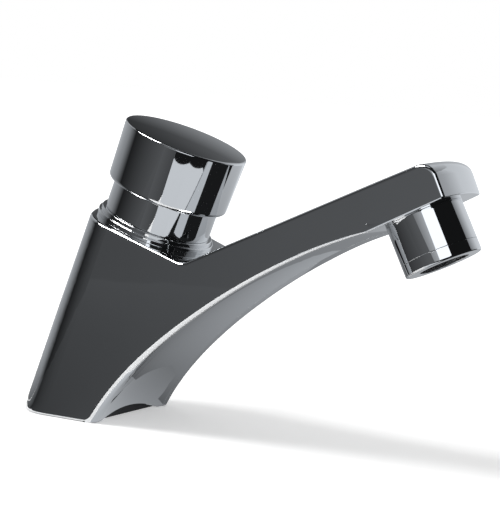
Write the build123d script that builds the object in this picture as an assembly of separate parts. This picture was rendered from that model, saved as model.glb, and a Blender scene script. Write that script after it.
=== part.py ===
from build123d import *
import math
import os

os.makedirs("parts", exist_ok=True)

# A push-button timed basin tap. The frame has its origin where the push axis
# meets the base plane, +Z up and +X towards the spout. "Height" is measured
# along the push axis, and "reach" across it, towards the spout.

# Driving sizes of the whole tap
push_lean = 18.23            # degrees that the push axis leans forward
spout_length = 74.9          # along the spout's top, from its foot to the outlet axis
outlet_drop = 29.5           # down the outlet axis, from the spout's top to the outlet face
outlet_lean = 28.7           # degrees that the outlet points outwards
button_travel = 6.0
overrun = 4.0                # how far a cutting form runs past what it cuts

# Running and assembly clearances
slide_clearance = 0.05       # shaft in a bush
guide_clearance = 0.35       # button skirt over the neck
thread_clearance = 0.1
seat_clearance = 0.05        # between flat faces that are not screwed together
soft_clearance = 0.3         # around rubber

# Cast body
base_front = 16.4            # front edge of the base
body_back = 20.1             # back of the body behind the push axis
body_top = 67.0              # height of the flat top
flank_half_width = 24.7      # half the width at the push axis
flank_taper_share = 0.078    # half width lost for each unit of X
back_radius = 32.0
back_corner_radius = 12.0
body_wall = 2.6
top_edge_radius = 1.2
lip_radius = 2.6             # rounded lip along the underside
foot_radius = 0.8            # round the foot
upward_share = 0.5           # of a face's normal that makes it one of the top
spout_corner_reach = 24.9    # where the spout rises from the flat top
spout_corner_radius = 6.0
spout_rise = 26.8            # degrees, the top of the spout
spout_straight_share = 0.876 # of the spout's length, before its top curves down
spout_crown_radius = 1500.0
arch_start_angle = 65.0      # degrees, the underside at the base
arch_start_pull = 34.0
arch_end_angle = 14.0        # degrees, the underside where it meets the outlet land
arch_end_pull = 26.0
land_back = 13.4             # outlet land behind the outlet axis
tip_overhang = 15.9          # outlet land in front of the outlet axis
tip_plan_radius = 55.0
tip_roll_radius = 5.0
land_edge_radius = 0.5

# Hollowed underside of the spout
channel_margin = 3.9         # lip left on each side
channel_depth = 4.0
channel_place_shares = (0.0, 0.15, 0.35, 0.55, 0.75, 0.9, 1.0)
channel_depth_shares = (0.5, 0.75, 0.95, 0.9, 0.72, 0.45, 0.15)

# Base: screwed inlet, cored pocket, sealing recess and its arched relief
inlet_radius = 9.32          # inside a half-inch pipe thread
inlet_depth = 8.0
inlet_runout_radius = 8.9
inlet_boss_wall = 2.5
recess_depth = 3.4
pocket_depth = 24.0
relief_width = 35.0
relief_height = 3.0
gasket_front_setback = 2.4

# Bores along the push axis
bonnet_bore_radius = 16.5
cartridge_seat_height = 53.0
cartridge_bore_radius = 12.0
lower_bore_radius = 10.6
lower_step_height = 26.0
lower_bore_play = 0.7        # under the timing pin's head

# Waterway cored through the spout
waterway_width = 14.0
waterway_depth = 4.4
waterway_entry_height = 41.5
waterway_bend_share = 0.59   # of the way from the cartridge to the outlet well
waterway_bend_lift = 1.8

# Valve cartridge
cartridge_radius = 11.85
cartridge_flange_radius = 16.2
cartridge_flange_thickness = 2.7
cartridge_skirt_radius = 10.6
cartridge_skirt_top = 34.0
cartridge_skirt_play = 1.0   # over the step of the lower bore
cartridge_chamber_radius = 9.0
cup_thread_length = 3.6
seat_height = 37.6           # sealing bead, facing down
seat_bead_depth = 0.3
seat_bead_width = 1.2
seat_thickness = 1.6
seat_hole_radius = 5.6
gallery_radius = 10.8
gallery_bottom = 38.4
gallery_top = 44.8
port_radius = 2.0
port_count = 6
window_width = 6.0
window_height = 2.2
window_bottom = 31.2
window_count = 4
o_ring_wire = 1.6
o_ring_groove_width = 2.2
o_ring_groove_depth = 1.7
o_ring_heights = (34.7, 48.0)
filter_radius = 11.5
filter_wall = 0.4
filter_slot_width = 0.8
filter_slot_count = 16

# Timing cup, the dashpot that delays the closing
cup_radius = 9.6
cup_bore_radius = 8.4
cup_play = 0.75              # left under the stem when the button is pressed home
cup_floor_thickness = 1.5
timing_pin_radius = 2.0
timing_pin_head_radius = 3.0
timing_pin_head_thickness = 0.8
timing_pin_rise = 1.0
timing_orifice_radius = 0.4
bleed_filter_radius = 3.2
bleed_filter_thickness = 0.4

# Piston, its seal, valve washer and stem
washer_radius = 8.0
washer_thickness = 3.0
tail_radius = 2.5
piston_pad_radius = 7.0
piston_pad_thickness = 1.2
piston_waist_radius = 4.5
piston_waist_length = 3.4
piston_head_radius = 8.1
piston_flange_thickness = 0.9
lip_seal_radius = 8.3
lip_seal_height = 2.2
lip_seal_core_radius = 5.0
lip_seal_notch = 1.1
piston_spigot_radius = 5.4
piston_spigot_length = 1.2
piston_nut_flats = 7.0
piston_nut_thickness = 2.6
nut_bevel_share = 0.8        # of what the hexagon's corners stand out
tail_stickout = 0.4
stem_radius = 4.0

# Return spring
spring_radius = 6.6          # to the middle of the wire
spring_wire = 0.9
spring_turns = 5

# Bonnet, the fixed neck under the button
neck_radius = 18.0
neck_height = 19.0           # above the flat top
neck_rim_wall = 2.8
neck_edge = 0.6
deck_rise = 5.0              # above the flat top
deck_thickness = 5.0
bonnet_cavity_radius = 13.0
bonnet_o_ring_wire = 1.7
bonnet_groove_depth = 1.8
bonnet_groove_width = 2.2
bonnet_groove_rise = 1.6

# Stem guide in the bonnet's deck
bush_radius = 7.0
bush_flange_radius = 9.0
bush_flange_thickness = 1.5
bush_tail = 2.5
stem_o_ring_wire = 1.8
stem_o_ring_groove_width = 2.2
stem_o_ring_height = 73.4
circlip_groove_depth = 0.9
circlip_thickness = 0.9
circlip_width = 2.0
circlip_gap = 3.0
circlip_play = 0.1

# Trim ring on the flat top, around the neck
trim_radius = 20.0
trim_height = 2.9
trim_step = 0.8
trim_step_height = 1.6

# Push button
button_overlap = 6.2         # how far the skirt reaches down over the neck
button_top_play = 4.5        # over the neck when the button is pressed home
button_bottom_radius = 20.42
button_radius = 21.0
button_crown = 0.9
button_top_thickness = 3.0
button_bottom_round = 1.4
button_rim_round = 0.6
button_boss_radius = 6.5
button_nut_play = 0.6        # over the stem guide when the button is pressed home
button_thread_radius = 3.0
button_thread_length = 7.0
locknut_flats = 10.0
locknut_thickness = 2.9

# Outlet nozzle and aerator, measured up the outlet axis from the outlet face
outlet_radius = 12.4
nozzle_length = 16.8         # from the outlet face to the land under the spout
nozzle_thread_radius = 9.4
nozzle_thread_length = 6.8
nozzle_bore_radius = 8.2
nozzle_socket_radius = 10.6
nozzle_socket_depth = 6.9
nozzle_seal_thickness = 1.0
outlet_edge = 0.4
aerator_rim_height = 3.9
aerator_seam = 0.15
aerator_thread_length = 5.6
aerator_bore_radius = 8.6
aerator_lip_radius = 8.0
aerator_lip_height = 1.2
aerator_washer_thickness = 1.2
insert_radius = 8.5
insert_wall = 1.2
insert_height = 6.7
insert_plate = 1.0
jet_radius = 0.5
jet_ring_radius = 5.0
jet_count = 12
grille_thickness = 1.0
grille_hole_radius = 0.85
grille_pitch = 2.5
grille_rings = 2
screen_thickness = 0.4

# Heights of the moving stack along the push axis, from the seat down
washer_top = seat_height - seat_clearance
washer_bottom = washer_top - washer_thickness
pad_bottom = washer_bottom - piston_pad_thickness
head_top = pad_bottom - piston_waist_length
seal_top = head_top - piston_flange_thickness
seal_bottom = seal_top - lip_seal_height - 2 * seat_clearance
piston_bottom = seal_bottom - piston_flange_thickness
piston_spigot_bottom = piston_bottom - piston_spigot_length
tail_end = piston_spigot_bottom - piston_nut_thickness - tail_stickout
tail_bore = tail_radius + seat_clearance

# Heights of the cartridge's skirt, the timing cup and the bore that they hang in
cartridge_skirt_bottom = lower_step_height + cartridge_skirt_play
bleed_bottom = tail_end - button_travel - cup_play - bleed_filter_thickness
cup_floor = bleed_bottom - timing_pin_rise
cup_top = cartridge_skirt_bottom + cup_thread_length - thread_clearance
lower_bore_bottom = cup_floor - cup_floor_thickness - timing_pin_head_thickness - lower_bore_play

# Heights of the bonnet and the button over the flat top
deck_bottom = body_top + deck_rise
deck_top = deck_bottom + deck_thickness
neck_top = body_top + neck_height
button_bottom = neck_top - button_overlap
button_inner_top = neck_top + button_travel + button_top_play
button_rim_height = button_inner_top + button_top_thickness
stem_shoulder = deck_top + bush_flange_thickness + button_travel + button_nut_play
button_boss_bottom = stem_shoulder + locknut_thickness
button_thread_end = button_boss_bottom + button_thread_length

lean_sin = math.sin(math.radians(push_lean))
lean_cos = math.cos(math.radians(push_lean))
out_sin = math.sin(math.radians(outlet_lean))
out_cos = math.cos(math.radians(outlet_lean))

push_axis = Plane(origin=(0, 0, 0), x_dir=(lean_cos, 0, -lean_sin), z_dir=(lean_sin, 0, lean_cos))


def from_push_axis(reach, height):
    """X and Z of a point given across and along the push axis."""
    return (height * lean_sin + reach * lean_cos, height * lean_cos - reach * lean_sin)


def step(point, angle, distance):
    """The point that lies a distance away in the direction of an angle."""
    turn = math.radians(angle)
    return (point[0] + distance * math.cos(turn), point[1] + distance * math.sin(turn))


# The outlet hangs from the spout's top line, square to the leaning outlet face
spout_corner = from_push_axis(spout_corner_reach, body_top)
outlet_crown = step(spout_corner, spout_rise, spout_length)
outlet_reach, outlet_height = step(outlet_crown, outlet_lean - 90, outlet_drop)
outlet_axis = Plane(
    origin=(outlet_reach, 0, outlet_height),
    x_dir=(out_cos, 0, out_sin),
    z_dir=(-out_sin, 0, out_cos),
)


def from_outlet_axis(reach, rise):
    """X and Z of a point given across and up the outlet axis."""
    return (
        outlet_reach + reach * out_cos - rise * out_sin,
        outlet_height + reach * out_sin + rise * out_cos,
    )


def turned(*profile):
    """A turned piece: a closed profile of (radius, height) points round the Z axis."""
    return revolve(Plane.XZ * make_face(Polyline(*profile, close=True)), Axis.Z)


def ring(outer, inner, bottom, top):
    """A plain ring or tube between two radii and two heights."""
    return turned((inner, bottom), (outer, bottom), (outer, top), (inner, top))


def rod(radius, bottom, top):
    """A plain round rod between two heights."""
    return ring(radius, 0, bottom, top)


def o_ring(inner, wire, middle):
    """A rubber ring of round section, given by its inner radius and middle height."""
    section = Pos(inner + wire / 2, middle) * Circle(wire / 2)
    return revolve(Plane.XZ * section, Axis.Z)


def hex_nut(flats, hole, bottom, top):
    """A hexagon nut with chamfered corners and a plain hole."""
    corner = flats / math.sqrt(3)
    bevel = (corner - flats / 2) * nut_bevel_share
    blank = Pos(0, 0, bottom) * extrude(RegularPolygon(flats / 2, 6, major_radius=False), top - bottom)
    bevelled = turned(
        (0, bottom), (corner - bevel, bottom), (corner, bottom + bevel),
        (corner, top - bevel), (corner - bevel, top), (0, top),
    )
    return (blank & bevelled) - rod(hole, bottom - overrun, top + overrun)


def on_push_axis(piece):
    """Carries a piece made on the Z axis to the push axis."""
    return push_axis.location * piece


def on_outlet_axis(piece):
    """Carries a piece made on the Z axis to the outlet axis."""
    return outlet_axis.location * piece


def write(piece, node):
    """Writes one piece as a STEP file under its node's name."""
    piece.label = node
    export_step(piece, f"parts/{node}.step")


# The body's outline in side view
back_foot_x = from_push_axis(-body_back, 0)[0] - overrun
back_top = from_push_axis(-body_back - overrun, body_top)
corner_turn = math.radians(push_lean + spout_rise)
corner_tangent = spout_corner_radius * math.tan(corner_turn / 2)
corner_start = step(spout_corner, 180 - push_lean, corner_tangent)
corner_end = step(spout_corner, spout_rise, corner_tangent)
corner_centre = step(corner_start, 90 - push_lean, spout_corner_radius)
corner_middle = step(corner_centre, (spout_rise - push_lean) / 2 - 90, spout_corner_radius)
crown_start = step(spout_corner, spout_rise, spout_length * spout_straight_share)
crown_centre = step(crown_start, spout_rise - 90, spout_crown_radius)
land_start = from_outlet_axis(-land_back, nozzle_length)
land_tip = from_outlet_axis(tip_overhang, nozzle_length)
land_end = from_outlet_axis(tip_overhang + overrun, nozzle_length)
crown_reach = math.degrees((math.dist(land_end, crown_start) + overrun) / spout_crown_radius)
crown_end = step(crown_centre, spout_rise + 90 - crown_reach, spout_crown_radius)
crown_middle = step(crown_centre, spout_rise + 90 - crown_reach / 2, spout_crown_radius)
tip_slope = spout_rise - math.degrees(math.dist(land_tip, crown_start) / spout_crown_radius)
arch_points = (
    (base_front, 0),
    step((base_front, 0), arch_start_angle, arch_start_pull),
    step(land_start, arch_end_angle, -arch_end_pull),
    land_start,
)


def arch_point(share):
    """A point on the underside curve and its direction, at a share of the way from the base."""
    rest = 1 - share
    weights = (rest ** 3, 3 * rest ** 2 * share, 3 * rest * share ** 2, share ** 3)
    slopes = (-rest ** 2, rest ** 2 - 2 * rest * share, 2 * rest * share - share ** 2, share ** 2)
    x, z = (sum(w * p[i] for w, p in zip(weights, arch_points)) for i in (0, 1))
    dx, dz = (sum(w * p[i] for w, p in zip(slopes, arch_points)) for i in (0, 1))
    return (x, z), math.degrees(math.atan2(dz, dx))


def flank_at(x):
    """Half the body's width at X."""
    return flank_half_width - flank_taper_share * x


def wedge(inset, bottom, top):
    """The space between the two tapering flanks, each moved inwards by the inset."""
    back_x = -2 * body_back
    front_x = outlet_reach + 2 * tip_overhang
    plan = Polyline(
        (back_x, flank_at(back_x) - inset), (front_x, flank_at(front_x) - inset),
        (front_x, inset - flank_at(front_x)), (back_x, inset - flank_at(back_x)), close=True,
    )
    return Pos(0, 0, bottom) * extrude(make_face(plan), top - bottom)


def back_barrel(inset):
    """The round form whose skin is the body's back, parallel to the push axis."""
    reach = 2 * (outlet_reach + outlet_height)
    barrel = rod(back_radius - inset, -reach, reach)
    front = Pos(reach / 2, 0, 0) * Box(reach, reach, 2 * reach)
    return on_push_axis(Pos(back_radius - body_back, 0, 0) * (barrel + front))


def column(inset, bottom, top):
    """The foot of the body, moved inwards by the inset, between two levels."""
    foot = wedge(inset, bottom, top) & back_barrel(inset)
    front = base_front - channel_depth * channel_depth_shares[0] - inset
    beyond = Pos(front + outlet_reach, 0, 0) * Box(2 * outlet_reach, 2 * outlet_reach, 2 * outlet_reach)
    return foot - beyond


def picked(edges, test):
    """The edges whose middle point passes a test."""
    return [edge for edge in edges if test(edge.position_at(0.5))]


def is_back_corner(point):
    """True on the two upright edges between the back and the flanks."""
    height = point.X * lean_sin + point.Z * lean_cos
    reach = point.X * lean_cos - point.Z * lean_sin
    middle = body_top / 4 < height < body_top * 3 / 4
    return middle and reach < 0 and abs(point.Y) > flank_half_width / 2


def is_roll_edge(point):
    """True on the edge between the spout's top and its end."""
    return point.X > outlet_reach and abs(point.Y) < lip_radius and point.Z > land_tip[1] + lip_radius


def is_tip_corner(point):
    """True on the two short upright edges beside the spout's end."""
    return point.X > outlet_reach and abs(point.Y) > lip_radius


def is_lip_edge(point):
    """True on the two long edges between the flanks and the underside."""
    below = lip_radius < point.Z < spout_corner[1] - lip_radius
    return below and base_front < point.X < land_start[0] and abs(point.Y) > channel_margin


def is_land_edge(point):
    """True on the two straight edges beside the outlet land."""
    return point.X > land_start[0] and point.Z < land_tip[1] and abs(point.Y) > lip_radius


def is_foot_edge(point):
    """True on the edges round the foot of the back and the flanks."""
    return abs(point.Z) < seat_clearance and point.X < base_front - lip_radius


def rim_edges(form):
    """The edges all round the top: of the flat top, the spout's top and its rolled end."""
    upper = [face for face in form.faces() if face.normal_at(face.center()).Z > upward_share]
    edges = [edge for face in upper for edge in face.edges()]
    rim = [edge for edge in edges if sum(edge.is_same(other) for other in edges) == 1]
    return picked(rim, lambda p: p.X < outlet_reach or abs(p.Y) > lip_radius)


def make_casting():
    """The body's outer form: side outline, tapering flanks, round back and rolled tip."""
    outline = make_face([
        Line((back_foot_x, 0), (base_front, 0)),
        Bezier(*arch_points),
        Line(land_start, land_end),
        Line(land_end, crown_end),
        ThreePointArc(crown_end, crown_middle, crown_start),
        Line(crown_start, corner_end),
        ThreePointArc(corner_end, corner_middle, corner_start),
        Line(corner_start, back_top),
        Line(back_top, (back_foot_x, 0)),
    ])
    slab = extrude(Plane.XZ.offset(-2 * flank_half_width) * outline, 4 * flank_half_width)
    form = slab & wedge(0, -overrun, 2 * body_top) & back_barrel(0)
    turn = math.radians(tip_slope)
    tip_axis = Plane(
        origin=(land_tip[0], 0, land_tip[1]),
        x_dir=(math.cos(turn), 0, math.sin(turn)),
        z_dir=(-math.sin(turn), 0, math.cos(turn)),
    )
    reach = 2 * outlet_reach
    tip_form = Pos(-tip_plan_radius, 0, 0) * rod(tip_plan_radius, -reach, reach)
    tip_form += Pos(-tip_plan_radius - reach / 2, 0, 0) * Box(reach, 2 * tip_plan_radius, 2 * reach)
    form &= tip_axis.location * tip_form
    form = fillet(picked(form.edges(), is_back_corner), back_corner_radius)
    form = fillet(picked(form.edges(), is_roll_edge), tip_roll_radius)
    form = fillet(picked(form.edges(), is_lip_edge), lip_radius)
    form = fillet(picked(form.edges(), is_foot_edge), foot_radius)
    form = fillet(rim_edges(form) + picked(form.edges(), is_tip_corner), top_edge_radius)
    return fillet(picked(form.edges(), is_land_edge), land_edge_radius)


def channel_section(share, depth_share):
    """One cross-section of the hollow underside: an arc between the two lips."""
    (x, z), angle = arch_point(share)
    if share == 0:
        x, z = step((x, z), angle, -overrun)
    half = flank_at(x) - channel_margin
    depth = channel_depth * depth_share
    turn = math.radians(angle)
    plane = Plane(origin=(x, 0, z), x_dir=(0, 1, 0), z_dir=(math.cos(turn), 0, math.sin(turn)))
    return plane * make_face([
        ThreePointArc((-half, 0), (0, depth), (half, 0)),
        Line((half, 0), (half, -overrun)),
        Line((half, -overrun), (-half, -overrun)),
        Line((-half, -overrun), (-half, 0)),
    ])


def make_channel():
    """The hollow scooped out of the underside between the two lips."""
    pairs = zip(channel_place_shares, channel_depth_shares)
    return loft([channel_section(share, depth) for share, depth in pairs])


def relief_arch(clearance, back_x, front_x):
    """A low arch across the foot of the front, as a block along X."""
    half = relief_width / 2 - clearance
    rise = relief_height - clearance
    arch = make_face([ThreePointArc((-half, 0), (0, rise), (half, 0)), Line((half, 0), (-half, 0))])
    across = Plane(origin=(back_x, 0, 0), x_dir=(0, 1, 0), z_dir=(1, 0, 0))
    return extrude(across * arch, front_x - back_x)


def slot_between(start, end, width, depth):
    """An oval passage between two points of the side view."""
    turn = math.atan2(end[1] - start[1], end[0] - start[0])
    plane = Plane(
        origin=(start[0], 0, start[1]), x_dir=(0, 1, 0), z_dir=(math.cos(turn), 0, math.sin(turn)),
    )
    return extrude(plane * SlotOverall(width, depth), math.dist(start, end))


def make_waterway():
    """The cored passage from the cartridge to the outlet well, with one bend."""
    start = from_push_axis(cartridge_bore_radius / 2, waterway_entry_height - waterway_depth)
    end = from_outlet_axis(0, nozzle_length + nozzle_thread_length - waterway_depth / 2)
    bend = tuple(a + (b - a) * waterway_bend_share for a, b in zip(start, end))
    bend = (bend[0], bend[1] + waterway_bend_lift)
    bar = Cylinder(waterway_depth / 2, waterway_width - waterway_depth)
    knuckle = Pos(bend[0], 0, bend[1]) * Rot(90, 0, 0) * bar
    first = slot_between(start, bend, waterway_width, waterway_depth)
    second = slot_between(bend, end, waterway_width, waterway_depth)
    return first + second + knuckle


def make_tap_body():
    """The finished casting: hollow underside, cored foot, bores, waterway and outlet well."""
    body = make_casting() - make_channel()
    body -= column(body_wall, -overrun, recess_depth)
    boss = rod(inlet_radius + inlet_boss_wall, -overrun, recess_depth)
    body += boss & column(body_wall, 0, recess_depth)
    body -= relief_arch(0, inlet_radius + inlet_boss_wall / 2, base_front + overrun)
    core = column(body_wall, recess_depth, pocket_depth)
    core -= on_push_axis(rod(cartridge_bore_radius + body_wall, -body_top, body_top))
    core -= rod(inlet_radius + inlet_boss_wall, -overrun, pocket_depth)
    core -= Pos(pocket_depth, 0, 0) * Box(2 * pocket_depth, 4 * flank_half_width, 4 * pocket_depth)
    body -= core
    body -= rod(inlet_radius, -overrun, inlet_depth)
    body -= rod(inlet_runout_radius, 0, 2 * inlet_depth) & on_push_axis(
        rod(2 * inlet_radius, -body_top, lower_bore_bottom + seat_clearance)
    )
    body -= on_push_axis(rod(lower_bore_radius, lower_bore_bottom, body_top))
    body -= on_push_axis(rod(cartridge_bore_radius, lower_step_height, body_top))
    body -= on_push_axis(rod(bonnet_bore_radius, cartridge_seat_height, body_top + overrun))
    body -= make_waterway()
    well_top = nozzle_length + nozzle_thread_length + seat_clearance + nozzle_seal_thickness
    body -= on_outlet_axis(rod(nozzle_thread_radius + thread_clearance, 0, well_top))
    return body


def make_gasket():
    """The rubber base seal, with the tongue that shows in the arched relief."""
    gasket = column(body_wall + soft_clearance, 0, recess_depth - soft_clearance)
    tongue_front = base_front - gasket_front_setback
    gasket += relief_arch(soft_clearance, 0, tongue_front)
    return gasket - rod(inlet_radius + inlet_boss_wall + soft_clearance, -overrun, recess_depth)


def make_cartridge_body():
    """The brass valve cartridge: flange, ring grooves, gallery with ports, seat and inlet windows."""
    top = cartridge_seat_height + cartridge_flange_thickness
    seat_top = seat_height + seat_thickness
    thread_bore = cup_radius + seat_clearance
    cartridge = turned(
        (thread_bore, cartridge_skirt_bottom),
        (cartridge_skirt_radius, cartridge_skirt_bottom),
        (cartridge_skirt_radius, cartridge_skirt_top),
        (cartridge_radius, cartridge_skirt_top),
        (cartridge_radius, cartridge_seat_height),
        (cartridge_flange_radius, cartridge_seat_height),
        (cartridge_flange_radius, top),
        (cartridge_chamber_radius, top),
        (cartridge_chamber_radius, seat_top),
        (seat_hole_radius, seat_top),
        (seat_hole_radius, seat_height),
        (seat_hole_radius + seat_bead_width, seat_height),
        (seat_hole_radius + seat_bead_width, seat_height + seat_bead_depth),
        (cartridge_chamber_radius, seat_height + seat_bead_depth),
        (cartridge_chamber_radius, cartridge_skirt_bottom + cup_thread_length),
        (thread_bore, cartridge_skirt_bottom + cup_thread_length),
    )
    floor = cartridge_bore_radius - o_ring_groove_depth
    for height in o_ring_heights:
        cartridge -= ring(cartridge_bore_radius, floor, height, height + o_ring_groove_width)
    cartridge -= ring(cartridge_bore_radius, gallery_radius, gallery_bottom, gallery_top)
    middle = (seat_top + gallery_top) / 2
    port = Pos(cartridge_radius, 0, middle) * Rot(0, 90, 0) * Cylinder(port_radius, cartridge_radius)
    cartridge -= PolarLocations(0, port_count) * port
    window = Pos(cartridge_radius, 0, window_bottom + window_height / 2) * Box(
        cartridge_radius, window_width, window_height
    )
    return cartridge - PolarLocations(0, window_count) * window


def make_cartridge_rings():
    """The two equal rubber rings in the cartridge's outer grooves."""
    inner = cartridge_bore_radius - o_ring_groove_depth + seat_clearance
    middles = [height + o_ring_groove_width / 2 for height in o_ring_heights]
    return Compound(children=[on_push_axis(o_ring(inner, o_ring_wire, middle)) for middle in middles])


def make_filter_sleeve():
    """The slotted steel sleeve that keeps grit out of the inlet windows."""
    bottom = cartridge_skirt_bottom
    sleeve = ring(filter_radius, filter_radius - filter_wall, bottom, cartridge_skirt_top)
    foot = ring(filter_radius, cartridge_skirt_radius + seat_clearance, bottom, bottom + filter_wall)
    slot = Pos(filter_radius, 0, window_bottom + window_height / 2) * Box(
        filter_radius / 2, filter_slot_width, window_height
    )
    return sleeve + foot - PolarLocations(0, filter_slot_count) * slot


def make_timing_cup():
    """The screwed-in cup under the piston, bored for the timing pin."""
    floor_under = cup_floor - cup_floor_thickness
    cup = turned(
        (0, floor_under), (cup_radius - cup_floor_thickness / 2, floor_under),
        (cup_radius, floor_under + cup_floor_thickness / 2), (cup_radius, cup_top),
        (cup_bore_radius, cup_top), (cup_bore_radius, cup_floor), (0, cup_floor),
    )
    return cup - rod(timing_pin_radius + seat_clearance, floor_under - overrun, cup_floor + overrun)


def make_timing_pin():
    """The brass pin in the cup's floor, with the fine orifice that sets the delay."""
    under = cup_floor - cup_floor_thickness
    pin = turned(
        (timing_orifice_radius, under - timing_pin_head_thickness),
        (timing_pin_head_radius, under - timing_pin_head_thickness),
        (timing_pin_head_radius, under), (timing_pin_radius, under),
        (timing_pin_radius, cup_floor + timing_pin_rise),
        (timing_orifice_radius, cup_floor + timing_pin_rise),
    )
    return pin


def make_spring_wire():
    """The return spring: one helix of tangent arcs between the cup's floor and the piston."""
    start_height = cup_floor + spring_wire / 2 + seat_clearance
    end_height = piston_bottom - spring_wire / 2 - seat_clearance
    quarters = 4 * spring_turns
    climb = (end_height - start_height) / (2 * math.pi * spring_turns)

    def on_helix(quarter):
        angle = quarter * math.pi / 2
        place = Vector(spring_radius * math.cos(angle), spring_radius * math.sin(angle),
                       start_height + climb * angle)
        heading = Vector(-spring_radius * math.sin(angle), spring_radius * math.cos(angle), climb)
        return place, heading.normalized()

    first, heading = on_helix(0)
    path = [Line(first - heading * spring_wire, first)]
    for quarter in range(quarters):
        begin, leave = on_helix(quarter)
        finish, arrive = on_helix(quarter + 1)
        chord = finish - begin
        both = leave + arrive
        spread = 2 * (1 - leave.dot(arrive))
        pull = (math.sqrt(chord.dot(both) ** 2 + spread * chord.dot(chord)) - chord.dot(both)) / spread
        near = begin + leave * pull
        joint = (near + finish - arrive * pull) / 2
        path.append(TangentArc(begin, joint, tangent=leave))
        path.append(TangentArc(joint, finish, tangent=joint - near))
    last, heading = on_helix(quarters)
    path.append(Line(last, last + heading * spring_wire))
    gap = 2 * math.pi * climb - spring_wire
    print(f"spring: least gap between turns {gap:.2f} mm")
    first_plane = Plane(origin=path[0] @ 0, z_dir=path[0] % 0)
    return sweep(first_plane * Circle(spring_wire / 2), Wire(path))


def make_piston():
    """The piston: pad under the valve washer, waist, grooved head and spring spigot."""
    return turned(
        (tail_bore, piston_spigot_bottom), (piston_spigot_radius, piston_spigot_bottom),
        (piston_spigot_radius, piston_bottom), (piston_head_radius, piston_bottom),
        (piston_head_radius, seal_bottom), (lip_seal_core_radius, seal_bottom),
        (lip_seal_core_radius, seal_top), (piston_head_radius, seal_top),
        (piston_head_radius, head_top), (piston_waist_radius, head_top),
        (piston_waist_radius, pad_bottom), (piston_pad_radius, pad_bottom),
        (piston_pad_radius, washer_bottom), (tail_bore, washer_bottom),
    )


def make_lip_seal():
    """The rubber lip seal in the piston's groove, open downwards."""
    core = lip_seal_core_radius + seat_clearance
    wall = (lip_seal_radius - core) / 3
    bottom = seal_bottom + seat_clearance
    return turned(
        (core, bottom), (core + wall, bottom), (core + wall * 3 / 2, bottom + lip_seal_notch),
        (core + wall * 2, bottom), (lip_seal_radius, bottom),
        (lip_seal_radius - wall / 3, bottom + lip_seal_height), (core, bottom + lip_seal_height),
    )


def make_stem():
    """The steel stem: tail for the piston, sliding shank and threaded end for the button."""
    return turned(
        (0, tail_end), (tail_radius - tail_stickout / 2, tail_end),
        (tail_radius, tail_end + tail_stickout / 2), (tail_radius, washer_top),
        (stem_radius, washer_top), (stem_radius, stem_shoulder),
        (button_thread_radius, stem_shoulder),
        (button_thread_radius, button_thread_end - tail_stickout),
        (button_thread_radius - tail_stickout, button_thread_end), (0, button_thread_end),
    )


def make_bonnet():
    """The chromed bonnet: screwed foot with a ring groove, deck for the stem guide, and neck."""
    foot = cartridge_seat_height + cartridge_flange_thickness
    thread = bonnet_bore_radius - thread_clearance
    shoulder = body_top + trim_height + seat_clearance
    groove = foot + bonnet_groove_rise
    groove_radius = bonnet_bore_radius - bonnet_groove_depth
    return turned(
        (bonnet_cavity_radius, foot), (thread, foot), (thread, groove), (groove_radius, groove),
        (groove_radius, groove + bonnet_groove_width), (thread, groove + bonnet_groove_width),
        (thread, shoulder), (neck_radius, shoulder), (neck_radius, neck_top - neck_edge),
        (neck_radius - neck_edge, neck_top), (neck_radius - neck_rim_wall, neck_top),
        (neck_radius - neck_rim_wall, deck_top), (bush_radius + seat_clearance, deck_top),
        (bush_radius + seat_clearance, deck_bottom), (bonnet_cavity_radius, deck_bottom),
    )


def make_bonnet_ring():
    """The rubber ring in the bonnet's groove."""
    groove = cartridge_seat_height + cartridge_flange_thickness + bonnet_groove_rise
    inner = bonnet_bore_radius - bonnet_groove_depth + seat_clearance
    return o_ring(inner, bonnet_o_ring_wire, groove + bonnet_groove_width / 2)


def make_bush():
    """The plastic stem guide, with an inner groove for its ring and an outer one for its clip."""
    bore = stem_radius + slide_clearance
    under = deck_bottom - bush_tail
    clip = deck_bottom - circlip_thickness - circlip_play
    bush = turned(
        (bore, under), (bush_radius, under), (bush_radius, clip),
        (bush_radius - circlip_groove_depth, clip),
        (bush_radius - circlip_groove_depth, deck_bottom), (bush_radius, deck_bottom),
        (bush_radius, deck_top), (bush_flange_radius, deck_top),
        (bush_flange_radius, deck_top + bush_flange_thickness),
        (bore, deck_top + bush_flange_thickness),
    )
    groove_radius = stem_radius + stem_o_ring_wire + 2 * slide_clearance
    groove_top = stem_o_ring_height + stem_o_ring_groove_width
    return bush - ring(groove_radius, 0, stem_o_ring_height, groove_top)


def make_circlip():
    """The open spring clip that holds the guide under the deck."""
    inner = bush_radius - circlip_groove_depth + seat_clearance
    top = deck_bottom - circlip_play / 2
    clip = ring(inner + circlip_width, inner, top - circlip_thickness, top)
    mouth = Box(2 * circlip_width, circlip_gap, 2 * circlip_thickness)
    return clip - Pos(inner + circlip_width / 2, 0, top) * mouth


def make_trim_ring():
    """The stepped chromed ring that the bonnet clamps on the flat top."""
    inner = bonnet_bore_radius + thread_clearance
    step_height = body_top + trim_step_height
    top = body_top + trim_height
    trim = turned(
        (inner, body_top), (trim_radius, body_top), (trim_radius, step_height),
        (trim_radius - trim_step, step_height), (trim_radius - trim_step, top), (inner, top),
    )
    outer_edges = picked(trim.edges().filter_by(GeomType.CIRCLE), lambda p: is_trim_edge(p))
    return fillet(outer_edges, trim_step / 3)


def is_trim_edge(point):
    """True on the trim ring's two outer upper edges."""
    radius = math.hypot(point.X, point.Y)
    return radius > trim_radius - trim_step * 3 / 2 and point.Z > body_top + trim_step_height / 2 and not (
        radius < trim_radius - trim_step / 2 and point.Z < body_top + trim_step_height + seat_clearance
    )


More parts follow.
